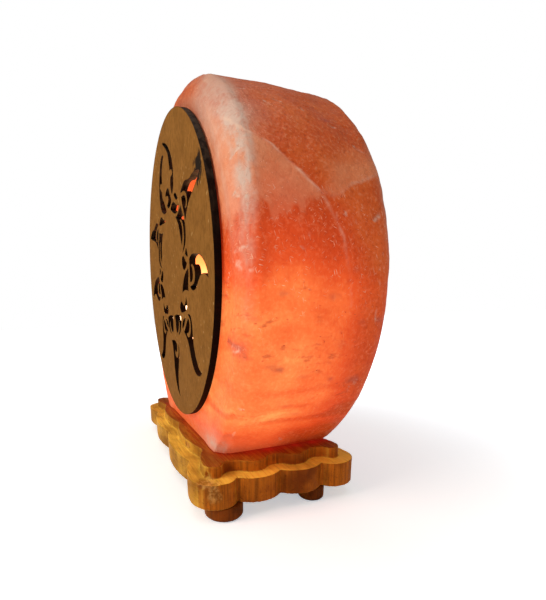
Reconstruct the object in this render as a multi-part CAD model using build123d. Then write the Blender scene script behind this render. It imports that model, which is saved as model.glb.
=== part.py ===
from build123d import *
import math
import os

# Salt crystal lamp: a round, flat-bottomed block of rock salt on a stepped,
# scalloped wooden base with four turned feet, a laser-cut round front panel
# with a sun pattern, and a small screw lampholder held in a bore by two
# sprung wings. Millimetres, +Z up, the panel faces -Y.
# Origin: centre of the overall box, at the height of the surface it stands on.

# ------------------------------------------------------------ driving sizes
# salt block
SALT_R = 95.0            # radius of the round block
SALT_ZC = 98.2           # height of its axis
SALT_Z0 = 24.0           # flat underside, on top of the base
SALT_Y0 = -25.6          # front face
SALT_Y1 = 41.4           # back face
SALT_FRONT_AX = 6.2      # front edge rounding along the axis
SALT_FRONT_RAD = 12.0    # and across it
SALT_BACK_AX = 13.5
SALT_BACK_RAD = 12.5
CAV_R = 62.0             # light cavity behind the panel
CAV_Y1 = 25.0            # its back wall
BORE_R = 19.0            # lampholder bore through the underside
AXIS_Y = 4.0             # the bore's axis in plan: x = 0, y = AXIS_Y
BORE_PTS = (0.0, AXIS_Y)

# front panel
PANEL_R = 75.0
PANEL_T = 3.0
PANEL_ZC = 107.4
PAD_T = 0.5              # adhesive pads between the panel and the salt
PANEL_Y1 = SALT_Y0 - PAD_T
PANEL_Y0 = PANEL_Y1 - PANEL_T

# wooden base: a scalloped board with a routed step
BASE_XC = -7.0           # the board sits a little off the block's axis
BASE_Z0 = 6.8            # underside, on the feet
BASE_Z1 = 18.8           # ledge
BASE_Z2 = SALT_Z0        # top of the step
CUSP_X = 80.3            # side cusps, from the board's centre
CUSP_Y = 36.4            # front and back cusps
SIDE_PITCH = 21.5        # side lobes
SIDE_SAG = 4.4
FRONT_SAG = 3.7
EXT_X = 85.0             # corner lobes' extents
EXT_Y = 41.4
CUSPS_FRONT = (53.5, 1.5, -50.0)
CUSPS_BACK = (51.0, 0.5, -51.5)
STEP_IN = 6.6            # routed step, inwards from the outline
BASE_BORE_R = 19.5
GROOVE_W = 10.0          # cable groove across the underside, to the back edge
GROOVE_TOP = 16.5

# feet: (x, y, radius)
FEET = {
    "foot_front_right": (69.0, -26.6, 9.0),
    "foot_rear_right": (69.4, 18.6, 6.3),
    "foot_front_left": (-78.0, -22.6, 9.0),
    "foot_rear_left": (-82.4, 19.0, 6.3),
}

# lampholder, about the bore's axis
HOLD_R = 13.6
HOLD_RI = 12.0
CAP_Z0 = 8.4
CAP_Z1 = 19.0
HOUS_Z1 = 50.0
LIP_Z0 = 47.6
LIP_R = 8.0
CORE_Z0 = 22.0
CORE_FLOOR = 25.0
CORE_STEP = 27.0
SHELL_RO = 7.6
SHELL_RI = 7.0
BULB_CAP_R = 6.95        # running fit in the threaded shell
BULB_Z0 = 30.0           # bottom of the bulb's solder tip
BULB_R = 14.0
BULB_Z1 = 92.0
CLIP_X = 15.95           # pivot pins of the two sprung wings
CLIP_Z = 43.8
GLAND_R = 3.0            # cord inlet in the side of the end cap
GLAND_Z = 13.2
PIN_R = 0.75
PIN_BORE_R = 0.80

PARTS = {}


def keep(name, shape):
    """Store one node; a group keeps its separate solids."""
    PARTS[name] = shape


def cyl(r, z0, z1, x=0.0, y=0.0):
    return Pos(x, y, (z0 + z1) / 2) * Cylinder(r, z1 - z0)


def tube(ro, ri, z0, z1, x=0.0, y=0.0):
    return cyl(ro, z0, z1, x, y) - cyl(ri, z0 - 1, z1 + 1, x, y)


def blk(x0, x1, y0, y1, z0, z1):
    return Pos((x0 + x1) / 2, (y0 + y1) / 2, (z0 + z1) / 2) * Box(x1 - x0, y1 - y0, z1 - z0)


def revolve_z(pts_or_face, y=AXIS_Y):
    return Pos(0, y, 0) * revolve(pts_or_face, Axis.Z)


# ------------------------------------------------------------ salt block
# section of the block in the (radius, y) plane, turned about a Y axis
def salt_solid():
    r, y0, y1 = SALT_R, SALT_Y0, SALT_Y1
    fa, fr, ba, br = SALT_FRONT_AX, SALT_FRONT_RAD, SALT_BACK_AX, SALT_BACK_RAD
    s = math.sqrt(0.5)
    front_mid = (r - fr * (1 - s), y0 + fa * (1 - s))
    back_mid = (r - br * (1 - s), y1 - ba * (1 - s))
    e = [
        Line((0, y0), (r - fr, y0)),
        ThreePointArc((r - fr, y0), front_mid, (r, y0 + fa)),
        Line((r, y0 + fa), (r, y1 - ba)),
        ThreePointArc((r, y1 - ba), back_mid, (r - br, y1)),
        Line((r - br, y1), (0, y1)),
        Line((0, y1), (0, y0)),
    ]
    face = make_face(Wire(e))
    body = Pos(0, 0, SALT_ZC) * revolve(face, Axis.Y)
    return body & blk(-120, 120, -60, 60, SALT_Z0, 220)


def cyl_y(r, y0, y1, x, z):
    return Pos(x, (y0 + y1) / 2, z) * Rot(90, 0, 0) * Cylinder(r, y1 - y0)


PLUG_X = 36.0
PLUG_R = 4.0
PLUG_Z1 = 46.0

salt = salt_solid()
salt = salt - cyl_y(CAV_R, SALT_Y0 - 5, CAV_Y1, 0, PANEL_ZC)
salt = salt - cyl(BORE_R, SALT_Z0 - 5, PANEL_ZC - 30, 0, AXIS_Y)
for sx in (-1, 1):
    salt = salt - cyl(PLUG_R, SALT_Z0 - 5, PLUG_Z1, sx * PLUG_X, AXIS_Y)
keep("salt_block", salt)

# ------------------------------------------------------------ front panel
# cut-outs are drawn in the panel's own plane: u to the right (+X), v up (+Z)


def cut_loop(*runs):
    """A closed outline from runs of (u, v) points: each run is smooth, and the
    outline has a corner where one run ends and the next begins."""
    edges = []
    for i, run in enumerate(runs):
        pts = list(run) + [runs[(i + 1) % len(runs)][0]]
        edges.append(Line(pts[0], pts[1]) if len(pts) == 2 else Spline(pts))
    return make_face(Wire(edges))


def mirrored(*runs):
    """The same outline on the other side of the upright centre line."""
    return [[(-u, v) for u, v in run] for run in runs]


# eight curling rays, each a flame with a tongue of wood left in its root
RAY_E = [
    [(39.2, -4.2), (41.6, -4.3), (43.6, -3.2), (44.3, -1.4), (43.6, 0.8)],
    [(41.8, 2.7), (44.9, 2.4), (47.2, 0.4), (47.7, -2.2), (46.5, -4.6), (43.6, -5.9)],
    [(38.8, -6.2), (41.5, -7.8), (45.5, -8.3), (50.0, -7.0), (54.0, -4.2), (58.0, -2.9), (62.5, -3.3)],
    [(67.2, -5.4), (64.5, -0.8), (60.0, 2.8), (54.5, 5.2), (48.0, 6.4), (42.0, 6.5)],
    [(39.3, 5.6), (39.0, 0.5)],
]
RAY_NE = [
    [(29.6, 35.3), (33.5, 34.8), (37.0, 33.9), (39.8, 31.7), (40.6, 29.2), (39.6, 27.3), (37.8, 26.8)],
    [(36.2, 27.9), (38.0, 28.6), (38.3, 30.2), (36.8, 31.9), (34.0, 32.9)],
    [(30.4, 33.0), (31.8, 29.8), (33.6, 26.6)],
    [(36.4, 22.6), (39.0, 25.4), (43.0, 28.0), (48.0, 29.6), (54.0, 31.3)],
    [(61.0, 33.8), (55.5, 35.6), (50.0, 36.2), (45.0, 36.0), (41.0, 36.9), (36.8, 37.5), (32.8, 36.8)],
]
RAY_SE = [
    [(31.4, -19.0), (34.2, -20.2), (35.7, -22.8), (35.5, -25.9), (33.9, -28.6), (31.0, -29.8), (28.2, -29.1)],
    [(26.8, -27.6), (29.3, -27.7), (31.8, -26.7), (33.3, -24.6), (33.4, -22.4)],
    [(31.3, -20.7), (28.6, -22.3), (25.4, -24.9)],
    [(21.8, -27.3), (26.5, -29.9), (30.0, -33.2), (33.0, -38.4), (36.5, -43.3), (41.0, -46.4), (46.5, -47.2)],
    [(51.8, -45.1), (47.8, -43.9), (44.0, -40.6), (41.2, -36.6), (39.5, -32.4), (38.9, -27.5), (38.2, -22.5), (36.0, -19.4), (33.8, -18.6)],
]
RAY_S = [
    [(6.2, -34.6), (5.6, -38.0), (4.2, -41.0), (1.2, -42.6), (-2.2, -42.2), (-3.8, -40.2)],
    [(-3.4, -38.2), (-1.2, -39.4), (1.2, -38.6), (2.2, -36.6)],
    [(1.6, -34.4), (-1.5, -33.2), (-6.0, -32.7)],
    [(-11.0, -33.2), (-9.0, -37.0), (-8.2, -42.0), (-8.0, -48.0), (-7.0, -54.0), (-4.4, -59.6)],
    [(3.4, -65.2), (1.0, -60.5), (0.8, -55.5), (2.4, -50.0), (4.6, -45.0), (6.6, -40.0), (7.4, -36.6)],
]
# the two horned flames that close over the top
HORN_R = [
    [(-5.0, 68.6), (0.5, 66.6), (6.0, 63.7), (11.0, 59.8), (15.0, 55.0), (17.0, 50.2), (16.9, 46.0), (15.2, 42.0)],
    [(12.2, 39.8), (10.2, 42.4), (9.8, 46.0)],
    [(11.2, 47.7), (13.2, 47.8)],
    [(15.4, 48.4), (13.4, 50.4)],
    [(9.8, 51.0), (9.2, 54.5), (7.2, 59.0), (3.2, 63.0), (-1.0, 65.9)],
]
HORN_L = [
    [(-3.0, 61.8), (-7.5, 63.4), (-12.0, 61.9), (-15.8, 58.2), (-18.8, 53.0), (-20.0, 47.5), (-18.4, 42.0), (-14.6, 38.2), (-9.5, 36.2)],
    [(-3.2, 35.8), (-5.6, 38.6), (-8.6, 41.8), (-11.4, 44.2)],
    [(-12.4, 47.6), (-15.0, 49.6)],
    [(-18.0, 51.6), (-14.6, 52.6)],
    [(-10.8, 51.4), (-10.4, 54.6), (-8.6, 58.0)],
]
MOON_N = [
    [(-4.2, 43.4), (-2.2, 44.9), (0.8, 45.4), (4.8, 44.4), (6.6, 41.4), (9.2, 38.6)],
    [(6.6, 36.3), (2.4, 36.2), (-1.0, 38.2)],
    [(-1.2, 38.6), (1.8, 38.9), (3.1, 40.4), (1.6, 42.0), (-1.4, 42.8)],
]
# the ring of curls round the plain centre
RING_1 = [
    [(6.8, 34.2), (10.5, 35.8), (15.0, 35.4), (19.8, 33.0)],
    [(25.2, 32.0), (22.6, 30.2), (19.0, 29.6), (13.6, 30.9)],
]
RING_1L = [
    [(-26.5, 34.6), (-23.0, 36.4), (-19.6, 37.0), (-16.0, 35.4), (-12.0, 33.6)],
    [(-8.0, 32.4), (-13.0, 32.2), (-18.0, 33.0), (-22.0, 33.2)],
]
RING_2 = [
    [(15.8, 38.4), (18.8, 38.5), (21.2, 36.9)],
    [(23.4, 35.0), (19.8, 35.3), (17.4, 36.8)],
]
RING_3 = [
    [(16.8, 28.2), (21.5, 28.4), (26.0, 29.8)],
    [(29.0, 30.2), (31.6, 26.0), (34.4, 22.0), (35.2, 18.0), (34.2, 14.0), (31.0, 11.4)],
    [(26.8, 10.2), (29.8, 12.2), (31.6, 15.4), (31.8, 19.0), (30.4, 22.6), (28.0, 24.6)],
    [(25.4, 24.8), (27.6, 23.2), (29.2, 20.4), (29.0, 16.8)],
    [(27.0, 13.4), (25.4, 16.6), (23.6, 21.0), (20.6, 25.2)],
]
RING_4 = [
    [(32.4, 9.0), (34.8, 10.8), (36.0, 9.2)],
    [(37.2, 7.0), (34.6, 7.6)],
]
RING_5 = [
    [(25.9, 8.0), (29.0, 8.2), (31.4, 6.4)],
    [(34.8, 4.6), (31.6, 2.6), (28.6, 2.3), (26.2, 3.8)],
]
RING_6 = [
    [(22.8, -8.2), (25.0, -4.0), (28.4, -0.9), (32.4, 1.1)],
    [(36.6, 1.8), (36.4, -1.4), (35.4, -4.2)],
    [(35.2, -8.0), (31.4, -7.2), (27.6, -7.0)],
]
RING_7 = [
    [(15.8, -14.8), (17.6, -12.6), (20.0, -12.2), (22.6, -13.6), (25.6, -14.2), (27.8, -12.8)],
    [(29.4, -10.0), (30.6, -12.4), (30.8, -14.8), (28.0, -16.7), (23.0, -17.3), (18.0, -17.2)],
]
RING_8 = [
    [(1.0, -18.9), (8.0, -18.4)],
    [(16.2, -19.4), (16.0, -23.4), (13.4, -27.2)],
    [(8.6, -29.1), (11.6, -26.4), (12.4, -23.6)],
    [(10.6, -21.4), (10.2, -24.2), (8.2, -26.8)],
    [(4.6, -28.2), (2.8, -25.0), (2.4, -21.6)],
]
RING_8L = [[(-u - 1.6, v) for u, v in run] for run in RING_8]
RING_9 = [
    [(18.2, -25.2), (19.4, -22.6), (22.6, -20.9)],
    [(26.4, -20.4), (23.8, -22.6), (21.2, -24.8)],
]
BOTH_SIDES = (RAY_E, RAY_NE, RAY_SE, RING_3, RING_4, RING_5, RING_6, RING_7, RING_9)
MIDDLE = (RAY_S, HORN_R, HORN_L, MOON_N, RING_1, RING_1L, RING_2, RING_8, RING_8L)

cuts = [cut_loop(*runs) for runs in MIDDLE]
for runs in BOTH_SIDES:
    cuts.append(cut_loop(*runs))
    cuts.append(cut_loop(*mirrored(*runs)))

panel2d = Circle(PANEL_R)
for c in cuts:
    panel2d = panel2d - c
panel = extrude(panel2d, PANEL_T)
# lay the panel's plane upright: its local +Z becomes -Y
panel = Pos(0, PANEL_Y1, PANEL_ZC) * Rot(90, 0, 0) * panel
keep("sun_panel", panel)

pads = []
for a in (17, 66, 118, 161, 204, 250, 295, 336):
    x, z = 70.2 * math.cos(math.radians(a)), 70.2 * math.sin(math.radians(a))
    pads.append(cyl_y(3.4, PANEL_Y1, SALT_Y0, x, PANEL_ZC + z))
keep("panel_adhesive", Compound(children=pads))

# ------------------------------------------------------------ wooden base


def arc_by_sag(p, q, sag):
    """Arc from p to q that bulges to the right of the way from p to q."""
    mx, my = (p[0] + q[0]) / 2, (p[1] + q[1]) / 2
    dx, dy = q[0] - p[0], q[1] - p[1]
    n = math.hypot(dx, dy)
    return ThreePointArc(p, (mx + dy / n * sag, my - dx / n * sag), q)


def arc_mid(cx, cy, r, p, q):
    a, b = math.atan2(p[1] - cy, p[0] - cx), math.atan2(q[1] - cy, q[0] - cx)
    d = (b - a + math.pi) % (2 * math.pi) - math.pi
    m = a + d / 2
    return ThreePointArc(p, (cx + r * math.cos(m), cy + r * math.sin(m)), q)


def corner(cx_front, sx, sy):
    """Three tangent arcs round a corner lobe, from the front cusp to the side
    cusp, for the corner with signs sx, sy."""
    x0 = abs(cx_front)
    p0 = (x0, CUSP_Y)
    r1 = 12.0
    p1 = (EXT_X - r1, EXT_Y)
    p2 = (EXT_X, EXT_Y - r1)
    p3 = (CUSP_X, SIDE_PITCH)
    d = EXT_Y - CUSP_Y
    ra = ((p1[0] - x0) ** 2 + d * d) / (2 * d)
    h = EXT_X - CUSP_X
    k = p2[1] - p3[1]
    rc = (h * h + k * k) / (2 * h)
    m = lambda p: (sx * p[0], sy * p[1])
    def arc(cx, cy, r, p, q):
        e = arc_mid(cx, cy, r, p, q)
        a, b, c = m(p), m(tuple(e @ 0.5)[:2]), m(q)
        return (a, b, c)
    segs = [
        arc(p1[0], EXT_Y - ra, ra, p0, p1),
        arc(EXT_X - r1, EXT_Y - r1, r1, p1, p2),
        arc(EXT_X - rc, p2[1], rc, p2, p3),
    ]
    return segs


def outline():
    e = []

    def pulled_in(p):
        """The board narrows a little towards its front left corner."""
        if p[1] > 0:
            return p
        t = min(max((-p[0] - 25.0) / 55.0, 0.0), 1.0)
        return (p[0] + 2.5 * max(0.0, t - 0.5) * 2, p[1] + 4.6 * t * t * (3 - 2 * t))

    def add(segs, rev=False):
        if rev:
            segs = [(c, b, a) for a, b, c in reversed(segs)]
        for a, b, c in segs:
            e.append(ThreePointArc(pulled_in(a), pulled_in(b), pulled_in(c)))

    def lobe(p, q, sag):
        e.append(arc_by_sag(pulled_in(p), pulled_in(q), sag))

    f0, f1, f2 = CUSPS_FRONT
    b0, b1, b2 = CUSPS_BACK
    # counter-clockwise from the front middle cusp
    lobe((f1, -CUSP_Y), (f0, -CUSP_Y), FRONT_SAG)
    add(corner(f0, 1, -1))
    lobe((CUSP_X, -SIDE_PITCH), (CUSP_X, 0), SIDE_SAG)
    lobe((CUSP_X, 0), (CUSP_X, SIDE_PITCH), SIDE_SAG)
    add(corner(b0, 1, 1), rev=True)
    lobe((b0, CUSP_Y), (b1, CUSP_Y), FRONT_SAG)
    lobe((b1, CUSP_Y), (b2, CUSP_Y), FRONT_SAG)
    add(corner(b2, -1, 1))
    lobe((-CUSP_X, SIDE_PITCH), (-CUSP_X, 0), SIDE_SAG)
    lobe((-CUSP_X, 0), (-CUSP_X, -SIDE_PITCH), SIDE_SAG)
    add(corner(f2, -1, -1), rev=True)
    lobe((f2, -CUSP_Y), (f1, -CUSP_Y), FRONT_SAG)
    return Wire(e)


w_low = outline()
low = make_face(w_low)
up = offset(low, amount=-STEP_IN, kind=Kind.ARC)
base = Pos(BASE_XC, 0, BASE_Z0) * extrude(low, BASE_Z1 - BASE_Z0)
base = base + Pos(BASE_XC, 0, BASE_Z1) * extrude(up, BASE_Z2 - BASE_Z1)
base = base - cyl(BASE_BORE_R, 0, 40, 0, AXIS_Y)
base = base - blk(-GROOVE_W / 2, GROOVE_W / 2, AXIS_Y + 10, 60, 0, GROOVE_TOP)

# base screws go up into plugs in the salt; feet have one screw each
SCREW_R = 2.0
for sx in (-1, 1):
    base = base - cyl(SCREW_R + 0.2, 0, 40, sx * PLUG_X, AXIS_Y) - cyl(4.6, 0, 11.0, sx * PLUG_X, AXIS_Y)
FOOT_SCREW_R = 1.6
for x, y, r in FEET.values():
    base = base - cyl(FOOT_SCREW_R, 0, 15.5, x, y)
keep("wood_base", base)

foot_screws = []
for name, (x, y, r) in FEET.items():
    prof = make_face(Wire([
        Line((FOOT_SCREW_R + 0.15, 0.0 + 3.0), (FOOT_SCREW_R + 0.15, BASE_Z0)),
        Line((FOOT_SCREW_R + 0.15, BASE_Z0), (r - 0.35, BASE_Z0)),
        Line((r - 0.35, BASE_Z0), (r, BASE_Z0 - 0.6)),
        Line((r, BASE_Z0 - 0.6), (r - 0.1, 1.1)),
        Line((r - 0.1, 1.1), (r - 1.1, 0.0)),
        Line((r - 1.1, 0.0), (3.7, 0.0)),
        Line((3.7, 0.0), (3.7, 1.0)),
        Line((3.7, 1.0), (FOOT_SCREW_R + 0.15, 3.0)),
    ]))
    foot = Pos(x, y, 0) * revolve(Rot(90, 0, 0) * prof, Axis.Z)
    keep(name, foot)
    head = Pos(x, y, 2.0) * Cone(3.3, FOOT_SCREW_R, 2.0)
    sh = cyl(FOOT_SCREW_R, 2.9, 14.5, x, y)
    tip = Pos(x, y, 15.0) * Cone(FOOT_SCREW_R, 0.3, 1.0)
    slot = blk(x - 2.2, x + 2.2, y - 0.35, y + 0.35, 0.9, 1.8) + blk(x - 0.35, x + 0.35, y - 2.2, y + 2.2, 0.9, 1.8)
    foot_screws.append((head + sh + tip) - slot)
keep("foot_screws", Compound(children=foot_screws))

base_screws, plugs = [], []
for sx in (-1, 1):
    x = sx * PLUG_X
    head = cyl(3.9, 9.0, 11.0, x, AXIS_Y)
    sh = cyl(SCREW_R, 10.5, 41.0, x, AXIS_Y)
    tip = Pos(x, AXIS_Y, 42.5) * Cone(SCREW_R, 0.4, 3.0)
    slot = blk(x - 2.6, x + 2.6, AXIS_Y - 0.4, AXIS_Y + 0.4, 8.5, 10.0) + blk(x - 0.4, x + 0.4, AXIS_Y - 2.6, AXIS_Y + 2.6, 8.5, 10.0)
    base_screws.append((head + sh + tip) - slot)
    plug = tube(PLUG_R, SCREW_R, SALT_Z0, PLUG_Z1, x, AXIS_Y)
    plug = plug - blk(x - 0.4, x + 0.4, AXIS_Y - 6, AXIS_Y + 6, SALT_Z0 + 8, PLUG_Z1 + 1)
    plugs.append(plug)
keep("base_screws", Compound(children=base_screws))
keep("salt_plugs", Compound(children=plugs))

# ------------------------------------------------------------ lampholder
Y = AXIS_Y
end_cap = tube(HOLD_R, HOLD_RI, CAP_Z0, CAP_Z1, 0, Y) + cyl(HOLD_R, CAP_Z0, CAP_Z0 + 1.8, 0, Y)
end_cap = end_cap + tube(HOLD_RI, HOLD_RI - 1.0, CAP_Z1 - 2.0, CAP_Z1 + 1.8, 0, Y)
gland = cyl_y(GLAND_R + 1.4, Y + 11.0, Y + 15.2, 0, GLAND_Z)
end_cap = end_cap + (gland & blk(-10, 10, Y, Y + 20, CAP_Z0, CAP_Z1))
end_cap = end_cap - cyl_y(GLAND_R, Y + 5.0, Y + 20.0, 0, GLAND_Z)
end_cap = end_cap - cyl(HOLD_RI - 1.0, CAP_Z0 + 1.8, CAP_Z1 + 3, 0, Y)
keep("holder_end_cap", end_cap)

housing = tube(HOLD_R, HOLD_RI, CAP_Z1, LIP_Z0, 0, Y) + tube(HOLD_R, LIP_R, LIP_Z0, HOUS_Z1, 0, Y)
housing = chamfer(housing.edges().filter_by(GeomType.CIRCLE).group_by(Axis.Z)[-1], 0.6)
keep("holder_housing", housing)

core = cyl(HOLD_RI, CORE_Z0, LIP_Z0, 0, Y)
core = core - cyl(SHELL_RO, CORE_STEP, 60, 0, Y) - cyl(4.2, CORE_FLOOR, 60, 0, Y) - cyl(0.95, 0, 60, 0, Y)
core = core - blk(-1.6, 1.6, Y + 5.0, Y + 6.2, 0, CORE_STEP + 1)
for sy in (-1, 1):
    core = core - cyl(1.3, 0, 25.6, 0, Y + sy * 8.6)
keep("holder_core", core)

shell = tube(SHELL_RO, SHELL_RI, CORE_STEP + 0.5, LIP_Z0 - 0.6, 0, Y)
keep("threaded_shell", shell)

side_contact = tube(SHELL_RO, 4.6, CORE_STEP, CORE_STEP + 0.5, 0, Y)
side_contact = side_contact + blk(-1.5, 1.5, Y + 5.1, Y + 6.1, 21.4, CORE_STEP + 0.3)
side_contact = side_contact + blk(-2.4, 2.4, Y + 5.1, Y + 10.6, 21.4, CORE_Z0)
side_contact = side_contact - cyl(1.3, 20, 24, 0, Y + 8.6)
keep("side_contact", side_contact)

centre_terminal = blk(-2.4, 2.4, Y - 10.6, Y + 2.2, 21.4, CORE_Z0)
centre_terminal = centre_terminal - cyl(1.3, 20, 24, 0, Y - 8.6) - cyl(0.95, 20, 24, 0, Y)
keep("centre_terminal", centre_terminal)

tscrews = []
for sy in (-1, 1):
    y = Y + sy * 8.6
    t = cyl(2.2, 19.4, 21.4, 0, y) + cyl(1.3, 21.4, 25.4, 0, y)
    t = t - blk(-3, 3, y - 0.3, y + 0.3, 19.0, 20.2)
    tscrews.append(t)
keep("terminal_screws", Compound(children=tscrews))

# sprung centre contact
plunger = cyl(2.3, 28.7, BULB_Z0, 0, Y) + cyl(0.9, 20.8, 29.0, 0, Y)
keep("centre_contact", plunger)
coil_h = 3.0
coil_path = Helix(pitch=0.85, height=coil_h, radius=1.75)
coil_sec = Plane(origin=coil_path @ 0, z_dir=coil_path % 0) * Circle(0.19)
coil = Pos(0, Y, CORE_FLOOR + 0.25) * sweep(coil_sec, path=coil_path)
keep("contact_spring", coil)

# clip bracket: a band round the housing with two pairs of ears
band = tube(HOLD_R + 0.8, HOLD_R, 39.5, 46.5, 0, Y)
ears = None
for sx in (-1, 1):
    for sy in (-1, 1):
        e = blk(min(sx * 12.4, sx * 17.4), max(sx * 12.4, sx * 17.4), Y + min(sy * 5.6, sy * 6.4), Y + max(sy * 5.6, sy * 6.4), 41.2, 46.4)
        e = e - cyl(HOLD_R, 30, 60, 0, Y)
        ears = e if ears is None else ears + e
band = band + ears
for sx in (-1, 1):
    band = band - cyl_y(PIN_R, Y - 7, Y + 7, sx * CLIP_X, CLIP_Z)
keep("clip_bracket", band)
pins = [cyl_y(PIN_R, Y - 6.9, Y + 6.9, sx * CLIP_X, CLIP_Z) for sx in (-1, 1)]
keep("clip_pins", Compound(children=pins))


def wing(sx):
    """A strip that runs down and outwards from its pin, with a curled foot."""
    pts = [
        (CLIP_X + 0.35, CLIP_Z - 1.1), (CLIP_X + 1.15, CLIP_Z - 0.2), (CLIP_X + 1.3, 40.4),
        (18.05, 30.4), (17.2, 26.4), (16.5, 26.7), (17.15, 30.5), (CLIP_X + 0.55, 40.3),
    ]
    w = Wire([Line(pts[i], pts[(i + 1) % len(pts)]) for i in range(len(pts))])
    f = make_face(w)
    strip = Pos(0, Y + 4.4, 0) * extrude(Rot(90, 0, 0) * f, 8.8)
    knuckle = cyl_y(1.25, Y - 5.2, Y + 5.2, CLIP_X, CLIP_Z)
    s = strip + knuckle - cyl_y(PIN_BORE_R, Y - 8, Y + 8, CLIP_X, CLIP_Z)
    if sx < 0:
        s = mirror(s, about=Plane.YZ)
    return s


keep("clip_wing_right", wing(1))
keep("clip_wing_left", wing(-1))

# ------------------------------------------------------------ bulb
tip = cyl(2.3, BULB_Z0, BULB_Z0 + 1.2, 0, Y)
keep("bulb_tip", tip)
ins = Pos(0, Y, BULB_Z0 + 2.3) * Cone(2.6, 6.0, 2.2)
keep("bulb_insulator", ins)
cap_shell = tube(BULB_CAP_R, BULB_CAP_R - 0.45, BULB_Z0 + 3.4, HOUS_Z1 + 2.0, 0, Y)
cap_shell = cap_shell + tube(BULB_CAP_R, 5.6, BULB_Z0 + 3.4, BULB_Z0 + 3.9, 0, Y)
keep("bulb_cap", cap_shell)

# pear-shaped envelope, 0.7 thick, its neck inside the metal cap
GL_T = 0.7


def envelope(d):
    """Half section of the glass, set in by d."""
    zt = BULB_Z1 - d
    r = BULB_R - d
    zc = BULB_Z1 - BULB_R
    n = 6.4 - d
    e = [
        Line((0, 42.0), (n, 42.0)) if d == 0 else Line((0, 42.0 - 1), (n, 42.0 - 1)),
        Line((n, 42.0 if d == 0 else 41.0), (n, 52.5)),
        Spline([(n, 52.5), (n + 2.2, 58.5), (r - 1.1, 68.0), (r, zc)], tangents=[(0, 1), (0, 1)]),
        ThreePointArc((r, zc), (r * math.sqrt(0.5), zc + r * math.sqrt(0.5)), (0, zc + r)),
        Line((0, zc + r), (0, 42.0 if d == 0 else 41.0)),
    ]
    return revolve(Rot(90, 0, 0) * make_face(Wire(e)), Axis.Z)


glass = Pos(0, Y, 0) * (envelope(0) - envelope(GL_T))
keep("bulb_glass", glass)

stem = cyl(2.0, 45.0, 64.0, 0, Y) + (Pos(0, Y, 46.5) * Cone(5.7, 2.0, 7.0))
stem = stem + Pos(0, Y, 64.0) * Sphere(2.0)
keep("bulb_stem", stem)

leads = []
for sx in (-1, 1):
    p = [(sx * 2.35, Y, 50.4), (sx * 2.5, Y, 64.0), (sx * 6.2, Y, 72.0), (sx * 6.2, Y, 73.6)]
    path = FilletPolyline(p, radius=2.0)
    sec = Plane(origin=path @ 0, z_dir=path % 0) * Circle(0.3)
    leads.append(sweep(sec, path=path))
keep("bulb_leads", Compound(children=leads))

fil_path = ThreePointArc((-6.2, Y, 73.75), (0, Y, 77.4), (6.2, Y, 73.75))
fil_sec = Plane(origin=fil_path @ 0, z_dir=fil_path % 0) * Circle(0.3)
keep("bulb_filament", sweep(fil_sec, path=fil_path))

# ------------------------------------------------------------ write
os.makedirs("parts", exist_ok=True)
for f in os.listdir("parts"):
    if f.endswith(".step") and f[:-5] not in PARTS:
        os.remove(os.path.join("parts", f))
lo, hi = [1e9] * 3, [-1e9] * 3
for name, shape in PARTS.items():
    export_step(shape, os.path.join("parts", name + ".step"))
    b = shape.bounding_box()
    for i, (a, c) in enumerate(zip(tuple(b.min), tuple(b.max))):
        lo[i], hi[i] = min(lo[i], a), max(hi[i], c)
print(len(PARTS), "nodes; box", [round(v, 2) for v in lo], [round(v, 2) for v in hi])
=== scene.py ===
import math

import bmesh
import bpy
import numpy as np
from mathutils import Matrix, Vector


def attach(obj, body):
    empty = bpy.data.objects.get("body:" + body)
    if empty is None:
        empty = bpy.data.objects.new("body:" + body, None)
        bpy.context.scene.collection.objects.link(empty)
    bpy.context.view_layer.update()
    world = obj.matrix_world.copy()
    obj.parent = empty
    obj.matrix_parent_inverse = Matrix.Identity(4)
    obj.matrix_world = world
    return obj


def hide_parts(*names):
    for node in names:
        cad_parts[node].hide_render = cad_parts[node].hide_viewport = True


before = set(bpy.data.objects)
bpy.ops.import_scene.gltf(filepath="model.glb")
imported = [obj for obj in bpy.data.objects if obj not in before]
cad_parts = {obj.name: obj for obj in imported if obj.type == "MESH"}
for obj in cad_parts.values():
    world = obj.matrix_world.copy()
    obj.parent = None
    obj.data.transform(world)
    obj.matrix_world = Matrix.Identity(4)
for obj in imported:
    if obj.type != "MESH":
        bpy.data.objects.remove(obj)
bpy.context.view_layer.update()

MM = 0.001
scene = bpy.context.scene
scene.view_settings.view_transform = "Standard"
scene.view_settings.look = "None"

# ------------------------------------------------------------ camera
right = Vector((0.309281, 0.950224, -0.037674))
up = Vector((-0.226435, 0.112062, 0.967558))
fwd = Vector((-0.923619, 0.290717, -0.249823))
cam_data = bpy.data.cameras.new("camera")
cam = bpy.data.objects.new("camera", cam_data)
scene.collection.objects.link(cam)
rot = Matrix((right, up, -fwd)).transposed().to_4x4()
cam.matrix_world = Matrix.Translation((0.209542, -0.07424, 0.08712)) @ rot
cam_data.sensor_width = 36.0
cam_data.lens = 361.033 / 600.0 * 36.0
cam_data.shift_x = (273.0 - 212.842) / 600.0
cam_data.shift_y = (410.106 - 300.0) / 600.0
cam_data.clip_start = 0.01
cam_data.clip_end = 50.0
scene.camera = cam

# ------------------------------------------------------------ floor and light
fm = bpy.data.meshes.new("floor")
fm.from_pydata([(-6, -6, 0), (6, -6, 0), (6, 6, 0), (-6, 6, 0)], [], [(0, 1, 2, 3)])
floor = bpy.data.objects.new("floor", fm)
scene.collection.objects.link(floor)

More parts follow.
